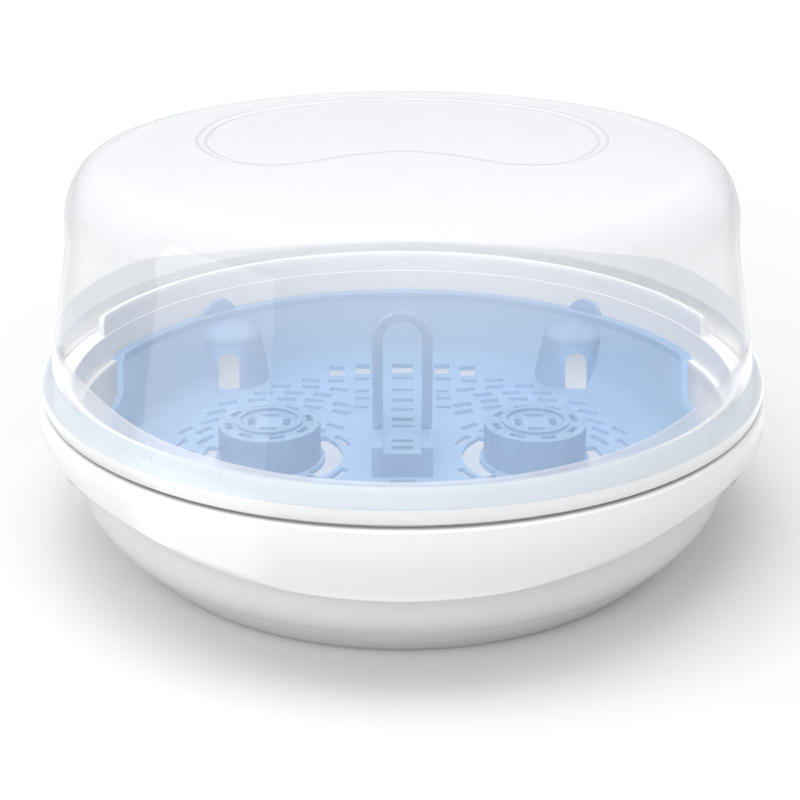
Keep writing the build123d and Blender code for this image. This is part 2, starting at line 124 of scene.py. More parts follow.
def fillet(points, radii, count=4):
    """A polyline with its inner corners rounded: one radius and count points for each."""
    out = [points[0]]
    for *three, radius in zip(points, points[1:], points[2:], radii):
        before, corner, after = (np.array(q, float) for q in three)
        back, ahead = before - corner, after - corner
        back_len, ahead_len = np.linalg.norm(back), np.linalg.norm(ahead)
        radius = min(radius, 0.45 * back_len, 0.45 * ahead_len)
        start = corner + back / back_len * radius
        end = corner + ahead / ahead_len * radius
        for k in range(count):
            t = k / (count - 1)
            r, z = (1 - t) ** 2 * start + 2 * t * (1 - t) * corner + t * t * end
            out.append((float(r), float(z)))
    out.append(points[-1])
    return out


def closed_curve(points, count):
    """count points along a closed Catmull-Rom curve."""
    knots = np.array(points, float)
    total = len(knots)
    out = []
    for k in range(count):
        s = k * total / count
        i = int(s)
        t = s - i
        a, b, c, d = (knots[(i + j) % total] for j in (-1, 0, 1, 2))
        out.append(0.5 * ((2 * b) + (-a + c) * t + (2 * a - 5 * b + 4 * c - d) * t * t
                          + (-a + 3 * b - 3 * c + d) * t**3))
    return np.array(out)


# ------------------------------------------------------------------- meshes
def mesh_from(name, verts, faces, mats, face_mats=None, sharp=38.0):
    """Smooth-shaded object from points in millimetres; edges over `sharp` degrees stay sharp."""
    mesh = bpy.data.meshes.new(name)
    mesh.from_pydata([tuple(c * MM for c in v) for v in verts], [], faces)
    for mat in mats:
        mesh.materials.append(mat)
    if face_mats is not None:
        mesh.polygons.foreach_set("material_index", np.array(face_mats, np.int32))
    mesh.polygons.foreach_set("use_smooth", np.ones(len(mesh.polygons), bool))
    mesh.validate()
    mesh.update()
    mesh.set_sharp_from_angle(angle=math.radians(sharp))
    obj = bpy.data.objects.new(name, mesh)
    bpy.context.scene.collection.objects.link(obj)
    return obj


def revolve_rows(name, angles, column, mats, sharp):
    """Closed surface from columns of points, one column per azimuth. column(angle)
    gives [(x, y, z, material slot), ...] from the first pole to the last one."""
    cols = [column(a) for a in angles]
    total = len(cols)
    rows = len(cols[0])
    verts = [cols[0][0][:3]]
    for col in cols:
        verts += [p[:3] for p in col[1:-1]]
    verts.append(cols[0][-1][:3])

    def index(i, j):
        if j == 0:
            return 0
        if j == rows - 1:
            return len(verts) - 1
        return 1 + (i % total) * (rows - 2) + (j - 1)

    faces, slots = [], []
    for i in range(total):
        for j in range(rows - 1):
            if j == 0:
                face = (0, index(i + 1, 1), index(i, 1))
            elif j == rows - 2:
                face = (index(i, j), index(i + 1, j), index(i, rows - 1))
            else:
                face = (index(i, j), index(i + 1, j), index(i + 1, j + 1), index(i, j + 1))
            faces.append(face)
            slots.append(cols[i][j + 1][3])
    obj = mesh_from(name, verts, faces, mats, slots, sharp)
    # normals point out when the enclosed volume is positive
    mesh = obj.data
    if sum(p.center.dot(p.normal) * p.area for p in mesh.polygons) < 0:
        mesh.flip_normals()
        mesh.update()
    return obj


def prism_y(outline, y0, y1):
    """Vertices and faces of an (x, z) outline extruded along y."""
    n = len(outline)
    verts = [(x, y, z) for y in (y0, y1) for x, z in outline]
    faces = [tuple(range(n)), tuple(range(2 * n - 1, n - 1, -1))]
    for i in range(n):
        j = (i + 1) % n
        faces.append((j, i, n + i, n + j))
    return verts, faces


# ------------------------------------------------------------------- angles
def azimuths(step, extra):
    """Sorted angles from +X in degrees: evenly spaced ones, and extra ones (angles from
    the side axis) mirrored into all four quadrants, which replace any that are too near."""
    angles = {round(k * step, 4) for k in range(int(360 / step))}
    for e in extra:
        for a in (e, -e, 180 - e, 180 + e):
            a = a % 360
            angles = {b for b in angles if min(abs(b - a), 360 - abs(b - a)) > 0.02 * step}
            angles.add(round(a, 4))
    return sorted(angles)


def from_side(a):
    """Angle from the nearest side axis (+X or -X), 0 to 90 degrees."""
    a = a % 180
    return min(a, 180 - a)


def from_front(a):
    """Angle from the nearest of the front and back axes, 0 to 90 degrees."""
    return 90 - from_side(a)


def in_notch(radius, a):
    """Whether the point at this radius and azimuth lies in a clip's notch."""
    return abs(radius * math.sin(math.radians(a))) < NOTCH_Y


def notch_edges(radius, margin):
    """Angles from the side axis that hold the notch's edge crisp on both sides."""
    edge = math.degrees(math.asin(NOTCH_Y / radius))
    return [edge + offset for offset in (-margin, -0.04, 0.04, margin)]


# -------------------------------------------------------------- shader nodes
class Graph:
    """One node tree, emptied and given an output. Wherever a value is taken, another
    node's output, or the node itself for its first output, may be given instead."""

    def __init__(self, owner, output="OutputMaterial"):
        owner.use_nodes = True
        self.tree = owner.node_tree
        self.tree.nodes.clear()
        self.output = self.node(output)

    def put(self, socket, value):
        if isinstance(value, bpy.types.Node):
            value = value.outputs[0]
        if isinstance(value, bpy.types.NodeSocket):
            self.tree.links.new(value, socket)
        else:
            socket.default_value = value

    def node(self, kind, **inputs):
        node = self.tree.nodes.new("ShaderNode" + kind)
        for name, value in inputs.items():
            self.put(node.inputs[name.replace("_", " ")], value)
        return node

    def surface(self, shader):
        self.put(self.output.inputs["Surface"], shader)

    def bsdf(self, kind, colour, **inputs):
        return self.node("Bsdf" + kind, Color=(*colour, 1), **inputs)

    def operate(self, kind, operation, *values):
        node = self.node(kind)
        node.operation = operation
        for socket, value in zip(node.inputs, values):
            self.put(socket, value)
        return node

    def math(self, operation, first, second):
        return self.operate("Math", operation, first, second).outputs[0]

    def times(self, first, second):
        return self.math("MULTIPLY", first, second)

    def length(self, vector):
        return self.operate("VectorMath", "LENGTH", vector).outputs["Value"]

    def coords(self):
        return self.node("TexCoord").outputs["Object"]

    def height(self):
        return self.node("SeparateXYZ", Vector=self.coords()).outputs["Z"]

    def noise(self, scale, detail=3.0, rough=0.5, stretch=None):
        vector = self.coords()
        if stretch:
            vector = self.node("Mapping", Vector=vector, Scale=stretch).outputs["Vector"]
        return self.node("TexNoise", Vector=vector, Scale=scale, Detail=detail,
                         Roughness=rough).outputs["Fac"]

    def ramp(self, value, span=(0.0, 1.0), to=(0.0, 1.0)):
        """Maps value linearly from span onto `to`, clamped."""
        return self.node("MapRange", Value=value, From_Min=span[0], From_Max=span[1],
                         To_Min=to[0], To_Max=to[1]).outputs["Result"]

    def bump(self, height, strength, distance):
        return self.node("Bump", Height=height, Strength=strength, Distance=distance)

    def occlusion(self, distance, samples):
        node = self.node("AmbientOcclusion", Distance=distance)
        node.samples = samples
        return node.outputs["AO"]

    def edges(self, span):
        """0 on flat faces, 1 on convex edges."""
        return self.ramp(self.node("NewGeometry").outputs["Pointiness"], span=span)

    def outside(self):
        """1 on the front of a face, 0 on its back."""
        return self.math("SUBTRACT", 1.0, self.node("NewGeometry").outputs["Backfacing"])

    def seen(self):
        """1 for camera and mirror rays, 0 for all others."""
        rays = self.node("LightPath").outputs
        return self.math("MAXIMUM", rays["Is Camera Ray"], rays["Is Glossy Ray"])

    def mix_colour(self, factor, first, second):
        mix = self.node("Mix")
        mix.data_type = "RGBA"
        self.put(mix.inputs["Factor"], factor)
        for name, colour in (("A", first), ("B", second)):
            self.put(mix.inputs[name], (*colour, 1) if isinstance(colour, tuple) else colour)
        return mix.outputs["Result"]

    def mix(self, factor, first, second):
        """Mixed shader: first at factor 0, second at factor 1."""
        node = self.node("MixShader")
        for socket, value in zip(node.inputs, (factor, first, second)):
            self.put(socket, value)
        return node


# ---------------------------------------------------------------- materials
WHITE = (1, 1, 1)


def new_material(name):
    mat = bpy.data.materials.new(name)
    return mat, Graph(mat)


def scaled(colour, factor):
    return tuple(min(1, c * factor) for c in colour)


def moulded_colour(g, colour, cloud, edge, dim, bright):
    """Colour clouded down to `dim` times itself, and `bright` times itself on edges."""
    base = g.mix_colour(g.ramp(cloud, span=(0.3, 0.7)), scaled(colour, dim), colour)
    return g.mix_colour(edge, base, scaled(colour, bright))


def painted_crevice_shade(g, colour, strength):
    """Painted shade: dark lines in narrow gaps, where ambient occlusion finds them, only on the
    outer face of the bowl.
    """
    occlusion = g.occlusion(distance=0.0035, samples=8)
    flat = g.operate("VectorMath", "MULTIPLY", g.coords(), (1, 1, 0))
    outer = g.ramp(g.length(flat), span=(0.1312, 0.1318))
    deep = g.ramp(occlusion, span=(0.12, 0.5), to=(strength, 0.0))
    return g.mix_colour(g.times(deep, outer), colour, (0.1, 0.1, 0.105))


def overhang_shade(g, colour, strength):
    """Soft shade below the overhanging skirt."""
    occlusion = g.occlusion(distance=0.035, samples=12)
    low = g.ramp(g.height(), span=(0.046, 0.054), to=(1.0, 0.0))
    shade = g.ramp(occlusion, span=(0.25, 0.85), to=(strength, 0.0))
    return g.mix_colour(g.times(shade, low), colour, (0.3, 0.3, 0.31))


def white_plastic(name, colour, rough, crevice_shade, under=0.0):
    """Glossy white plastic, scuffed a little, rougher on its edges."""
    mat, g = new_material(name)
    edge_rough = 0.08       # roughness added on the edges
    cloud = g.noise(scale=14.0, detail=4.0)
    grain = g.noise(scale=900.0, detail=2.0)
    scuff = g.noise(scale=60.0, detail=6.0, rough=0.7, stretch=(1, 1, 6))
    edge = g.edges(span=(0.52, 0.6))
    final = moulded_colour(g, colour, cloud, edge, dim=0.985, bright=1.03)
    scuffed = g.ramp(scuff, span=(0.35, 0.75), to=(rough - 0.03, rough + 0.05))
    roughness = g.math("ADD", scuffed, g.times(edge, edge_rough))
    # painted shade darkens narrow gaps on the outer face
    final = painted_crevice_shade(g, final, crevice_shade)
    if under:
        final = overhang_shade(g, final, under)
    g.surface(g.node("BsdfPrincipled", Base_Color=final, Roughness=roughness, IOR=1.49,
                     Normal=g.bump(grain, strength=0.06, distance=0.0002)))
    return mat


def blue_plastic(name, colour, through, see, passes):
    """Tinted plastic, glossy over diffuse. `through` is its translucent share, `see` the
    share let straight through to the eye, `passes` the share for stray light."""
    mat, g = new_material(name)
    cloud = g.noise(scale=18.0, detail=3.0)
    grain = g.noise(scale=700.0, detail=2.0)
    final = moulded_colour(g, colour, cloud, g.edges(span=(0.51, 0.58)), dim=0.97, bright=1.12)
    normal = g.bump(grain, strength=0.05, distance=0.0002)
    gloss = g.node("BsdfPrincipled", Base_Color=final, Normal=normal, IOR=1.45,
                   Roughness=g.ramp(cloud, span=(0.3, 0.7), to=(0.26, 0.34)))
    glow = g.node("BsdfTranslucent", Color=final, Normal=normal)
    body = g.mix(through, gloss, glow)
    clear = g.bsdf("Transparent", [0.8 + 0.2 * c for c in colour])
    g.surface(g.mix(g.ramp(g.seen(), to=(passes, see)), body, clear))
    return mat


def show_to_eye_only(g, shader):
    """The wall shows to the camera and in reflections, and lets all other light through."""
    g.surface(g.mix(g.seen(), g.bsdf("Transparent", WHITE), shader))


def hazy(g, cloud, tint, colour, heights, haze):
    """See-through surface with a clouded haze that goes from haze[0] to haze[1]
    between two heights."""
    clear = g.bsdf("Transparent", tint)
    translucent_share = 0.4
    veil = g.mix(translucent_share, g.bsdf("Diffuse", colour), g.bsdf("Translucent", colour))
    level = g.ramp(g.height(), span=heights, to=haze)
    return g.mix(g.times(level, g.ramp(cloud, span=(0.2, 0.8), to=(0.92, 1.08))), clear, veil)


def clear_wall(name, haze, rims, shine, haze_colour):
    """Thin clear wall: sees straight through, mirrors by angle on its outside, with a
    faint haze and a grey outline of painted shade near its silhouette. rims: strength of the
    outline's soft zone and thin edge."""
    mat, g = new_material(name)
    most_mirror = 0.3       # the mirror's share never exceeds this
    cloud = g.noise(scale=22.0, detail=4.0)
    hair = g.noise(scale=260.0, detail=2.0, rough=0.6, stretch=(1, 1, 0.2))
    facing = g.node("LayerWeight", Blend=0.5).outputs["Facing"]
    gloss = g.bsdf("Glossy", WHITE, Normal=g.bump(hair, strength=0.004, distance=0.0001),
                   Roughness=g.ramp(cloud, span=(0.3, 0.7), to=(0.04, 0.065)))
    wall = hazy(g, cloud, tint=(0.99, 0.993, 1.0), colour=haze_colour,
                heights=(0.108, 0.150), haze=haze)
    # painted shade: a grey diffuse mixed in where the wall is seen at a grazing angle, standing
    # for the darkening a clear wall shows near its outline
    soft = g.ramp(facing, span=(0.68, 0.82), to=(0.0, rims[0]))
    thin = g.ramp(facing, span=(0.90, 0.98), to=(0.0, rims[1]))
    outlined = g.mix(g.math("ADD", soft, thin), wall, g.bsdf("Diffuse", (0.26, 0.27, 0.29)))
    fresnel = g.node("Fresnel", IOR=1.46)
    mirror = g.math("MINIMUM", g.times(fresnel, shine), most_mirror)
    show_to_eye_only(g, g.mix(g.times(mirror, g.outside()), outlined, gloss))
    return mat


def inner_wall(name, haze):
    """Inside face of the clear wall: nearly invisible low down, hazier toward the top."""
    mat, g = new_material(name)
    mirror_share = 0.03     # scales the mirror by angle
    cloud = g.noise(scale=30.0, detail=3.0)
    wall = hazy(g, cloud, tint=WHITE, colour=(0.97, 0.973, 0.98),
                heights=(0.112, 0.150), haze=haze)
    mirror = g.times(g.node("Fresnel", IOR=1.15), mirror_share)
    show_to_eye_only(g, g.mix(mirror, wall, g.bsdf("Glossy", WHITE, Roughness=0.12)))
    return mat


def frosted(name, colour, see, rough=0.3):
    """Diffuse and translucent, with a see-through share `see`, under a soft gloss."""
    mat, g = new_material(name)
    translucent_share = 0.35
    shine = 1.0             # scales the mirror by angle
    solid_below = 0.15      # with less see-through than this, it blocks stray light
    cloud = g.noise(scale=40.0, detail=4.0)
    grain = g.noise(scale=1400.0, detail=2.0)
    look = {
        "Normal": g.bump(grain, strength=0.12, distance=0.0002),
        "Color": g.mix_colour(g.ramp(cloud, span=(0.3, 0.7)), scaled(colour, 0.985), colour),
    }
    body = g.mix(translucent_share, g.node("BsdfDiffuse", **look),
                 g.node("BsdfTranslucent", **look))
    body = g.mix(see, body, g.bsdf("Transparent", (0.97, 0.98, 1.0)))
    gloss = g.bsdf("Glossy", WHITE, Roughness=g.ramp(cloud, span=(0.3, 0.7),
                                                     to=(rough * 0.85, rough * 1.2)))
    mirror = g.times(g.node("Fresnel", IOR=1.46), shine)
    final = g.mix(g.times(mirror, g.outside()), body, gloss)
    if see > solid_below:
        show_to_eye_only(g, final)
    else:
        g.surface(final)
    return mat


def glowing(name, strength):
    mat, g = new_material(name)
    g.surface(g.node("Emission", Color=(*WHITE, 1), Strength=strength))
    return mat


mat_bowl = white_plastic("bowl_white", colour=(0.83, 0.832, 0.838), rough=0.2,
                         crevice_shade=0.95, under=0.16)
mat_clip = white_plastic("clip_white", colour=(0.82, 0.822, 0.828), rough=0.24, crevice_shade=0.6)
mat_tray = blue_plastic("tray_blue", colour=(0.39, 0.555, 0.765),
                        through=0.4, see=0.14, passes=0.85)
mat_loop = blue_plastic("loop_blue", colour=(0.46, 0.625, 0.84),
                        through=0.35, see=0.35, passes=0.85)
mat_dome = clear_wall("lid_clear", haze=(0.16, 0.225), rims=(0.15, 0.25), shine=0.5,
                      haze_colour=(0.97, 0.973, 0.98))
# painted shade: the crease material is a grey haze on the clear wall that darkens the bends of the
# pressed panel
mat_crease = clear_wall("lid_crease", haze=(0.62, 0.62), rims=(0.2, 0.2), shine=1.0,
                        haze_colour=(0.60, 0.605, 0.62))
mat_inner = inner_wall("lid_inside", haze=(0.02, 0.30))
mat_band = frosted("lid_band", colour=(0.84, 0.85, 0.88), see=0.42)
mat_flange = frosted("lid_flange", colour=(0.64, 0.715, 0.775), see=0.2)
mat_lip = frosted("lid_lip", colour=(0.87, 0.88, 0.89), see=0.05, rough=0.18)

# --------------------------------------------------------------- water bowl
# skirt's lower edge: degrees from the front or back axis, drop below the parting line
HEM = [(0, 26.5), (13, 25.6), (21, 23.6), (30, 21.0), (42, 16.6), (50, 14.4),
       (57, 13.1), (66, 12.6), (78, 12.5), (90, 12.5)]
GAP_END = 15.95         # degrees from the side axis where a finger gap ends
COLLAR_START = 16.9     # and where the collar has its full height
CEILING = 62.0          # underside of the rim
SKIRT_IN = SKIRT_R - 2.4    # inside of the skirt
SEAT_R = SKIRT_R - 4.5      # outer edge of the seat
NOTCH_R = 136.9         # face of the clip's notch
COLLAR_R = 130.7        # outside of the collar

# Bowl profiles, (r, z). Underside, foot ring and outer wall, from the axis to the rim:
BOWL_OUTSIDE = [(0, 2.2), (20, 2.2), (45, 2.2), (70, 2.2), (88, 2.2)]
BOWL_OUTSIDE += fillet([(88, 2.2), (94.0, 2.2), (96.5, 0.0), (102.4, 0.0)], [1.2, 1.2])[1:]
BOWL_OUTSIDE += spline([(102.4, 0.0), (104.6, 0.7), (107.2, 2.4), (112.4, 7.8), (117.0, 13.2),
                        (118.7, 15.4)], 14)[1:]
BOWL_OUTSIDE += [(119.15, 15.68), (119.6, 15.8)]
BOWL_OUTSIDE += spline([(119.6, 15.8), (121.2, 17.6), (123.0, 20.2), (124.6, 22.8),
                        (126.1, 26.0), (127.4, 30.0), (128.6, 36.0), (129.9, 46.0),
                        (130.7, 58.0), (130.8, 61.2)], 18)[1:]
# below the collar, down the inner wall and along the floor to the axis:
BOWL_INSIDE = [(128.0, 64.9), (128.0, 59.0)]
BOWL_INSIDE += fillet([(128.0, 55.0), (128.0, 53.5), (125.9, 53.5), (125.9, 51.5)],
                      [0.4, 0.4], 3)
BOWL_INSIDE += spline([(125.9, 51.5), (127.0, 46.5), (126.2, 38.0), (124.9, 31.0),
                       (122.6, 25.4), (118.0, 19.0), (112.0, 12.0), (104.0, 6.6),
                       (95.0, 5.2)], 22)[1:]
BOWL_INSIDE += [(75, 5.1), (50, 5.0), (25, 4.9), (0, 4.8)]
# outer face of the skirt, (z, r)
SKIRT_FACE = [(37.9, SKIRT_R - 0.9), (45.0, SKIRT_R - 0.35), (52.5, SKIRT_R),
              (58.6, SKIRT_R - 0.25), (RIM_TOP - 1.8, SKIRT_R - 0.7)]


def collar_rise(a):
    """0 in the finger gaps, 1 on the collar, with a rounded corner."""
    side = from_side(a)
    if side <= GAP_END:
        return 0.0
    if side >= COLLAR_START:
        return 1.0
    t = (COLLAR_START - side) / (COLLAR_START - GAP_END)
    return math.sqrt(max(0.0, 1 - t * t)) * 0.97 + 0.03 * (1 - t)


def skirt_rows(hem):
    """(r, z) from the rim's underside round the skirt's hem to the top of the rim."""
    rows = fillet([(130.8, 61.2), (130.8, CEILING), (SKIRT_IN, CEILING),
                   (SKIRT_IN, hem + 0.9)], [0.7, 0.7])[1:-1]
    top = CEILING - 1.2
    rows += [(SKIRT_IN, top - (top - hem - 0.9) * k / 5) for k in range(6)]
    rows += fillet([(SKIRT_IN, hem + 0.9), (SKIRT_IN, hem), (SKIRT_R - 0.75, hem),
                    (SKIRT_R - 0.7, hem + 1.2)], [0.55, 0.75])[1:-1]
    face_foot = hem + 1.1
    for k in range(12):
        z = face_foot + (RIM_TOP - 2.2 - face_foot) * k / 11
        rows.append((curve_table(SKIRT_FACE, z), z))
    rows += fillet([(SKIRT_R - 0.62, RIM_TOP - 2.1), (SKIRT_R - 1.0, RIM_TOP),
                    (SEAT_R, RIM_TOP), (SEAT_R, SEAT)], [1.5, 0.35], 6)[1:-1]
    return rows


def notch_rows():
    """The same number of rows in a clip's notch, where the skirt stops at the rim's
    underside and the rim steps in."""
    rows = fillet([(130.8, 61.2), (130.8, CEILING), (134.0, CEILING),
                   (134.0, CEILING - 1)], [0.7, 0.7])[1:5]
    # start radius, pitch and count of the rows along the underside
    for start, pitch, count in ((132.2, 0.35, 4), (133.7, 0.15, 6), (134.7, 0.12, 8)):
        rows += [(start + pitch * k, CEILING) for k in range(count)]
    for k in range(12):
        t = k / 11
        rows.append((135.8 + (NOTCH_R - 135.8) * min(1, t * 2),
                     CEILING + max(0.0, t - 0.5) * 0.8))
    rows += [(NOTCH_R, CEILING + 0.45 + 0.16 * k) for k in range(6)]
    rows += [(NOTCH_R - (NOTCH_R - SEAT_R) * (k + 1) / 6.5, RIM_TOP) for k in range(6)]
    return rows


def collar_rows(rise):
    """(r, z) along the seat, up the collar, over its top and down its inside."""
    low = SEAT + 0.05
    top = SEAT + 0.15 + (COLLAR_TOP - SEAT - 0.15) * rise
    rows = fillet([(SEAT_R, SEAT - 0.4), (SEAT_R, SEAT), (130.75, SEAT)], [0.3], 3)[1:]
    rows += [(COLLAR_R - 0.02, low + (top - 0.9 * rise - low) * k / 4) for k in range(1, 5)]
    rows += [(r, top - share * rise) for r, share in (
        (COLLAR_R - 0.1, 0.75), (COLLAR_R - 0.35, 0.28), (COLLAR_R - 0.8, 0.05),
        (COLLAR_R - 1.25, 0.0), (129.0, 0.05), (128.55, 0.28), (128.3, 0.8))]
    inner_top = top - 0.85 * rise
    rows += [(128.25, inner_top - (inner_top - 65.2) * k / 4) for k in range(1, 5)]
    return rows


def bowl_column(a):
    cos_a, sin_a = math.cos(math.radians(a)), math.sin(math.radians(a))
    rim = notch_rows() if in_notch(SKIRT_R, a) else skirt_rows(
        SEAM - curve_table(HEM, from_front(a)))
    rows = BOWL_OUTSIDE + rim + collar_rows(collar_rise(a)) + BOWL_INSIDE
    return [(r * cos_a, r * sin_a, z, 0) for r, z in rows]


bowl_angles = azimuths(1.25, notch_edges(SKIRT_R, 0.35) + [
    GAP_END, 15.99, 16.06, 16.16, 16.3, 16.5, 16.7, COLLAR_START])
bowl = revolve_rows("bowl_visual", bowl_angles, bowl_column, [mat_bowl], 34)
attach(bowl, "bowl")
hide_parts("base_bowl")

# Hinge lugs under the rim, two on each side. Outline of the +X ones, (x, z):
LUG = [(122.6, 26.6), (128.4, 25.6), (129.6, 27.6), (134.6, 52.6), (134.6, 61.95),
       (130.2, 61.95), (128.9, 46.0), (127.6, 34.0), (125.6, 28.0)]
LUG_NEAR, LUG_FAR = 22.3, 25.3      # a lug's two faces, measured along y from the X axis


def make_lugs():
    verts, faces = [], []
    for side in (1, -1):
        for y0, y1 in ((LUG_NEAR, LUG_FAR), (-LUG_FAR, -LUG_NEAR)):
            lug_verts, lug_faces = prism_y([(side * x, z) for x, z in LUG], y0, y1)
            if side < 0:
                lug_faces = [tuple(reversed(face)) for face in lug_faces]
            faces += [tuple(i + len(verts) for i in face) for face in lug_faces]
            verts += lug_verts
    obj = mesh_from("bowl_lugs", verts, faces, [mat_bowl], sharp=30)
    bevel = obj.modifiers.new("bevel", "BEVEL")
    bevel.width = 0.5 * MM
    bevel.segments = 3
    bevel.limit_method = "ANGLE"
    bevel.angle_limit = math.radians(40)
    return obj


lugs = make_lugs()
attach(lugs, "bowl")

# ---------------------------------------------------------------------- lid
# material slots of the lid
CLEAR, FROST, FLANGE, LIP, INSIDE, INSIDE_LOW, CREASE = range(7)
LID_MATS = [mat_dome, mat_band, mat_flange, mat_lip, mat_inner, mat_inner, mat_crease]

# outside of the wall, (z, r)
WALL = [(76.4, 133.6), (77.6, 133.2), (82.0, 132.7), (88.5, 131.8), (95.5, 130.5),
        (105.0, 128.8), (115.0, 126.9), (123.0, 125.8), (130.0, 125.4)]
# frosted band's top: degrees from the front or back axis, height above the parting line
BAND = [(0, 12.4), (12, 12.6), (25, 13.6), (38, 15.8), (51, 20.3), (56, 22.0), (62, 23.0),
        (90, 23.0)]
BAND_STEP = 0.35        # the band stands proud of the wall by this
LID_WALL = 1.9          # thickness
WALL_TOP, WALL_TOP_R = WALL[-1]
CROWN_R = 109.0         # edge of the crown, where the rounded shoulder starts
SHOULDER_W = WALL_TOP_R - CROWN_R
SHOULDER_H = LID_TOP - WALL_TOP
# crown: radius, height above its edge
CROWN = [(0, CROWN_RISE), (40.0, 1.35), (75.0, 0.8), (CROWN_R, 0.0)]
RECESS_R = 136.75       # lip's face behind a clip
LID_FOOT = SEAT + 0.05

# Bean-shaped panel pressed into the crown, toward the back. Outline on the +X side, (x, y):
BEAN = [(0, -13.0), (17, -18.0), (40, -31.6), (61, -26.8), (75.5, -2.0), (78.0, 24.0),
        (72.0, 50.0), (55.0, 73.0), (30.0, 88.0), (0, 93.0)]
BEAN_C = (0.0, 32.0)
PANEL = 0.75            # depth of the panel
PANEL_FLAT = 4.3        # distance inside the outline where its flat floor ends
PANEL_EDGE = -0.6       # and, outside it, where its sloping border ends
# border, seen from above: distance inside the outline, share of the depth, slot
# rows with the CREASE slot carry that painted shade along the panel's bends
BORDER_TOP = [(3.95, 1.0, CLEAR), (3.65, 0.985, CREASE), (3.4, 0.93, CREASE),
              (3.1, 0.84, CREASE), (2.8, 0.76, CREASE), (2.2, 0.60, CLEAR),
              (1.2, 0.36, CLEAR), (0.5, 0.16, CLEAR), (0.3, 0.12, CREASE),
              (0.0, 0.06, CREASE), (-0.3, 0.015, CREASE), (PANEL_EDGE, 0.0, CREASE)]
# its underside: distance inside the outline, share of the depth
BORDER_BELOW = [(PANEL_EDGE, 0.0), (0.0, 0.06), (0.8, 0.26), (2.2, 0.60), (3.2, 0.88),
                (3.9, 1.0)]

# flange below the band, (r, z)
FLANGE_ROWS = spline([(134.15, 76.3), (134.9, 75.5), (136.1, 74.1), (137.3, 72.3),
                      (138.1, 70.95)], 9)
# lip, (r, z), and the same rows where it is recessed behind a clip
LIP_ROWS = [(138.2, 70.7), (138.32, 70.25), (138.42, 69.9), (138.55, 69.2), (138.6, 68.0),
            (138.58, 67.0), (138.45, 66.5), (138.1, SEAT + 0.08), (137.6, LID_FOOT)]
RECESS_ROWS = [(RECESS_R + 0.25, 70.9), (RECESS_R, 70.75), (RECESS_R, 70.2), (RECESS_R, 69.4),
               (RECESS_R, 68.0), (RECESS_R, 66.9), (RECESS_R - 0.1, 66.5),
               (RECESS_R - 0.35, LID_FOOT), (RECESS_R - 0.9, LID_FOOT)]
# inside, from the lip up to the shoulder, (r, z)
LID_INSIDE = [(134.9, SEAT + 0.35), (134.9, 67.6), (134.9, 69.0)]
LID_INSIDE += spline([(134.9, 69.0), (134.7, 70.6), (133.9, 72.6), (132.6, 74.3),
                      (131.6, 75.3)], 8)[1:]
LID_INSIDE += spline([(131.6, 75.3)] + [(r - LID_WALL, z) for z, r in WALL[1:]], 14)[1:]


def shoulder(degrees, thickness=0.0):
    """(r, z) on the rounded shoulder, from 0 at the wall to 90 at the crown."""
    t = math.radians(degrees)
    return (CROWN_R + (SHOULDER_W - thickness) * math.cos(t),
            WALL_TOP + (SHOULDER_H - thickness) * math.sin(t))


LID_INSIDE += [shoulder(d, LID_WALL) for d in (12, 24, 36, 48, 60, 71, 81)]
bean = closed_curve(BEAN + [(-x, y) for x, y in reversed(BEAN[1:-1])], 1440)


def bean_hit(ray):
    """Where a unit ray from the panel's centre crosses the outline: the distance, and
    the cosine between the ray and the outline's normal, kept from getting small."""
    rel = bean - np.array(BEAN_C)
    side = ray[0] * rel[:, 1] - ray[1] * rel[:, 0]
    along = rel @ ray
    next_side = np.roll(side, -1)
    next_along = np.roll(along, -1)
    i = np.where((side * next_side <= 0) & (along > 0) & (next_along > 0))[0][0]
    t = side[i] / (side[i] - next_side[i]) if side[i] != next_side[i] else 0.0
    tangent = bean[(i + 2) % len(bean)] - bean[(i - 2) % len(bean)]
    tangent = tangent / np.linalg.norm(tangent)
    cosine = abs(ray[0] * tangent[1] - ray[1] * tangent[0])
    return along[i] + (next_along[i] - along[i]) * t, max(0.45, cosine)


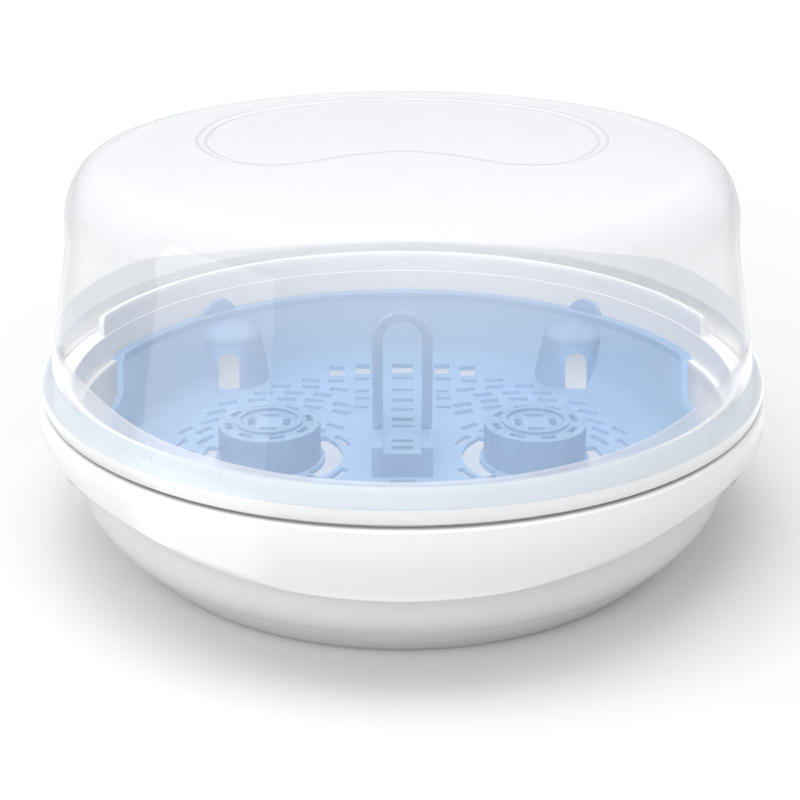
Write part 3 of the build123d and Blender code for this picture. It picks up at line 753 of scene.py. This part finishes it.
def lid_column(a):
    cos_a, sin_a = math.cos(math.radians(a)), math.sin(math.radians(a))
    ray = np.array((CROWN_R * cos_a, CROWN_R * sin_a)) - np.array(BEAN_C)
    reach = float(np.linalg.norm(ray))
    ray = ray / reach
    outline, cosine = bean_hit(ray)

    def inside_by(inset):
        """Distance along the ray to a line this far inside the panel's outline."""
        return outline - inset / cosine

    def crown(distance, drop, slot):
        x, y = BEAN_C[0] + ray[0] * distance, BEAN_C[1] + ray[1] * distance
        return (x, y, LID_TOP + curve_table(CROWN, math.hypot(x, y)) - drop, slot)

    def around(points, slot):
        return [(r * cos_a, r * sin_a, z, slot) for r, z in points]

    flat_end = inside_by(PANEL_FLAT)
    border_end = inside_by(PANEL_EDGE)
    # crown from the panel's centre to the shoulder
    rows = [crown(flat_end * k / 6, PANEL, CLEAR) for k in range(7)]
    rows += [crown(inside_by(inset), PANEL * share, slot) for inset, share, slot in BORDER_TOP]
    rows += [crown(border_end + (reach - border_end) * k / 8, 0.0, CLEAR) for k in range(1, 9)]
    rows += around([shoulder(d) for d in (84, 77, 70, 62, 54, 46, 38, 30, 22, 15, 8, 0)], CLEAR)
    # clear wall down to the frosted band
    band_top = SEAM + curve_table(BAND, from_front(a))
    heights = [WALL_TOP + (band_top + 0.35 - WALL_TOP) * k / 16 for k in range(1, 17)]
    rows += around([(curve_table(WALL, z), z) for z in heights], CLEAR)
    # step out to the band, then the band: height, distance proud of the wall
    band_low = band_top - 0.3
    steps = [(band_top + 0.1, 0.06), (band_top - 0.1, 0.24), (band_low, BAND_STEP)]
    steps += [(band_low + (76.75 - band_low) * k / 4, BAND_STEP) for k in range(1, 5)]
    rows += around([(curve_table(WALL, z) + proud, z) for z, proud in steps], FROST)
    # flange, lip and foot
    lip = RECESS_ROWS if in_notch(LIP_R, a) else LIP_ROWS
    rows += around(FLANGE_ROWS + lip[:2], FLANGE)
    rows += around(lip[2:] + [(135.15, LID_FOOT)], LIP)
    # inside of the wall
    for point in LID_INSIDE:
        rows += around([point], INSIDE_LOW if point[1] < 76.0 else INSIDE)
    # underside of the crown, back to the panel's centre
    below = [(border_end + (reach - border_end) * k / 5, 0.0) for k in (5, 4, 3, 2, 1)]
    below += [(inside_by(inset), PANEL * share) for inset, share in BORDER_BELOW]
    below += [(flat_end * k / 6, PANEL) for k in (5, 4, 3, 2, 1, 0)]
    rows += [crown(distance, drop + LID_WALL, INSIDE) for distance, drop in below]
    return rows


lid = revolve_rows("lid_visual", azimuths(1.5, notch_edges(LIP_R, 0.4)), lid_column, LID_MATS, 40)
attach(lid, "lid")
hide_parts("lid")

# --------------------------------------------------------------------- loop
LOOP_HALF = (loop_hi.x - loop_lo.x) / 2         # half width over the legs
BAR = 4.2                                       # width of the bar, in the loop's plane
BAR_HALF_Y = (loop_hi.y - loop_lo.y) / 2        # half thickness of the bar
LEG_X = LOOP_HALF - BAR / 2                     # centre line of a leg
LEG_FOOT = 39.65                                # height where a leg narrows to its peg
ARC_Z = loop_hi.z - LOOP_HALF                   # centre of the arch
PEG_X = 9.3                                     # centre line of a peg
PEG_HALF = 1.35                                 # half width of a peg
SQUARENESS = 0.55                               # exponent of the bar's rounded section


def loop_section():
    """(across, y) points round the bar."""
    points = []
    for k in range(20):
        t = 2 * math.pi * k / 20
        cos_t, sin_t = math.cos(t), math.sin(t)
        points.append((math.copysign(abs(cos_t) ** SQUARENESS, cos_t) * BAR / 2,
                       math.copysign(abs(sin_t) ** SQUARENESS, sin_t) * BAR_HALF_Y))
    return points


def loop_path():
    """(x, z, angle) up the +X leg, over the arch and down the -X leg."""
    path = [(LEG_X, z, 0.0) for z in np.linspace(LEG_FOOT, ARC_Z, 10)]
    for k in range(1, 33):
        t = math.pi * k / 32
        path.append((LEG_X * math.cos(t), ARC_Z + LEG_X * math.sin(t), t))
    return path + [(-LEG_X, z, math.pi) for z in np.linspace(ARC_Z, LEG_FOOT, 10)[1:]]


def make_loop():
    section, path = loop_section(), loop_path()
    count = len(section)
    verts = [(x + math.cos(t) * across, y, z + math.sin(t) * across)
             for x, z, t in path for across, y in section]
    faces = []

    def bridge(ring, after, flip):
        for j in range(count):
            k = (j + 1) % count
            face = (ring[j], ring[k], after[k], after[j])
            faces.append(tuple(reversed(face)) if flip else face)

    rings = [list(range(i * count, (i + 1) * count)) for i in range(len(path))]
    for ring, after in zip(rings, rings[1:]):
        bridge(ring, after, False)
    # each leg narrows to a peg with a slightly tapered end
    for ring, side in ((rings[0], 1), (rings[-1], -1)):
        flip = side > 0
        for z, taper in ((LEG_FOOT - 0.05, 1.0), (loop_lo.z + 0.4, 1.0), (loop_lo.z, 0.86)):
            after = list(range(len(verts), len(verts) + count))
            for across, y in section:
                verts.append((side * (PEG_X + across * PEG_HALF / (BAR / 2) * taper),
                              y * 0.97 * taper, z))
            bridge(ring, after, flip)
            ring = after
        faces.append(tuple(reversed(ring)) if flip else tuple(ring))
    return mesh_from("loop_visual", verts, faces, [mat_loop], sharp=50)


loop = make_loop()
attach(loop, "tray")
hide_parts("tray_loop")

# ------------------------------------------------- tray and clips, CAD nodes
for node, mat in (("steam_tray", mat_tray), ("clip_left", mat_clip), ("clip_right", mat_clip)):
    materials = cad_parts[node].data.materials
    materials.clear()
    materials.append(mat)

# -------------------------------------------------------------------- stage
scene = bpy.context.scene
SKY = 0.38              # light from all round
SKY_SEEN = 1.0          # how bright the room looks to the camera and in reflections


def floor_paper():
    """Grey paper that glows to white away from the part for the camera, and shows a
    bright ring round the part in reflections."""
    mat, g = new_material("floor_paper")
    paper = g.bsdf("Diffuse", (0.66, 0.66, 0.66))
    rays = g.node("LightPath").outputs
    distance = g.length(g.coords())
    glow = g.ramp(distance, span=(0.2, 1.6), to=(0.12, 0.90))
    mirror_glow = g.times(g.ramp(distance, span=(0.19, 0.28), to=(0.0, 0.95)),
                          g.ramp(distance, span=(0.34, 0.60), to=(1.0, 0.4)))
    strength = g.math("ADD", g.times(rays["Is Camera Ray"], glow),
                      g.times(rays["Is Glossy Ray"], mirror_glow))
    both = g.node("AddShader")
    g.put(both.inputs[0], paper)
    g.put(both.inputs[1], g.node("Emission", Color=(*WHITE, 1), Strength=strength))
    g.surface(both)
    return mat


paper_mat = floor_paper()
bpy.ops.mesh.primitive_circle_add(vertices=96, radius=9.0, fill_type="NGON", location=(0, 0, 0))
floor = bpy.context.object
floor.name = "studio_floor"
floor.data.materials.append(paper_mat)


def reflect_only(obj):
    """The object shows in reflections and nowhere else."""
    obj.visible_camera = False
    obj.visible_diffuse = False
    obj.visible_transmission = False
    obj.visible_shadow = False


# tall soft box on the left, facing +X, seen in the wall of the lid and in the skirt
box_mat = glowing("soft_box_left_glow", strength=4.0)
bpy.ops.mesh.primitive_plane_add(size=1.0, location=(-0.40, -0.33, 0.15))
soft_box = bpy.context.object
soft_box.name = "soft_box_left"
soft_box.scale = (0.413, 0.30, 1)
soft_box.rotation_mode = "QUATERNION"
soft_box.rotation_quaternion = Vector((1, 0, 0)).to_track_quat("Z", "Y")
soft_box.data.materials.append(box_mat)
reflect_only(soft_box)

# Its bright strip on the table, which the skirt mirrors. The two corners near the part
# are moved out by STRIP_GAP, each along its own direction. All in millimetres.
STRIP_GAP = 50.0
STRIP_Z = 0.6
strip_corners = [(-95.5 - 0.932 * STRIP_GAP, -102.0 - 0.065 * STRIP_GAP),
                 (-400.0, -123.0), (-400.0, -536.0),
                 (-49.0 - 0.611 * STRIP_GAP, -131.0 - 0.706 * STRIP_GAP)]
strip_mat = glowing("strip_glow", strength=3.2)
strip = mesh_from("soft_box_strip", [(x, y, STRIP_Z) for x, y in strip_corners],
                  [(0, 1, 2, 3)], [strip_mat])
reflect_only(strip)


def area_light(name, location, target, size, power):
    """Rectangular light aimed at target, left out of reflections."""
    data = bpy.data.lights.new(name, "AREA")
    data.shape = "RECTANGLE"
    data.size, data.size_y = size
    data.energy = power
    obj = bpy.data.objects.new(name, data)
    obj.location = location
    aim = Vector(target) - Vector(location)
    obj.rotation_euler = aim.to_track_quat("-Z", "Y").to_euler()
    obj.visible_glossy = False
    scene.collection.objects.link(obj)


# broad light overhead, fill from the front left, and one soft light on each side
area_light("soft_box_top", location=(-0.15, -0.2, 1.5), target=(0, 0, 0),
           size=(1.3, 1.1), power=18.0)
area_light("soft_box_front", location=(-0.45, -1.5, 1.15), target=(0, 0, 0.05),
           size=(1.4, 0.9), power=13.5)
area_light("soft_box_west", location=(-1.15, -0.1, 1.05), target=(0, 0, 0.05),
           size=(0.8, 0.8), power=2.0)
area_light("soft_box_east", location=(1.15, -0.1, 1.05), target=(0, 0, 0.05),
           size=(0.8, 0.8), power=1.5)

world = bpy.data.worlds.new("studio")
scene.world = world
sky = Graph(world, "OutputWorld")
sky_rays = sky.node("LightPath").outputs
sky_seen = sky.math("MAXIMUM", sky_rays["Is Glossy Ray"], sky_rays["Is Camera Ray"])
sky.surface(sky.node("Background", Color=(*WHITE, 1),
                     Strength=sky.ramp(sky_seen, to=(SKY, SKY_SEEN))))

scene.view_settings.view_transform = "Standard"
scene.view_settings.look = "None"
scene.view_settings.exposure = 0.0
scene.cycles.max_bounces = 14
scene.cycles.transparent_max_bounces = 24
scene.cycles.transmission_bounces = 10
scene.cycles.diffuse_bounces = 6
scene.cycles.glossy_bounces = 5

# ------------------------------------------------------------------- camera
CAMERA_PITCH = math.radians(20.9)       # looking down by this
CAMERA_DISTANCE = 0.620                 # from the axis at the parting line

cam_data = bpy.data.cameras.new("camera")
cam = bpy.data.objects.new("camera", cam_data)
scene.collection.objects.link(cam)
cam.location = (0.0, -CAMERA_DISTANCE * math.cos(CAMERA_PITCH),
                SEAM * MM + CAMERA_DISTANCE * math.sin(CAMERA_PITCH))
cam.rotation_euler = (math.radians(90) - CAMERA_PITCH, 0, 0)
cam_data.sensor_width = 36.0
cam_data.lens = 70.95
cam_data.shift_x = -0.0029
cam_data.shift_y = -0.0403
cam_data.clip_start = 0.02
cam_data.clip_end = 50.0
scene.camera = cam
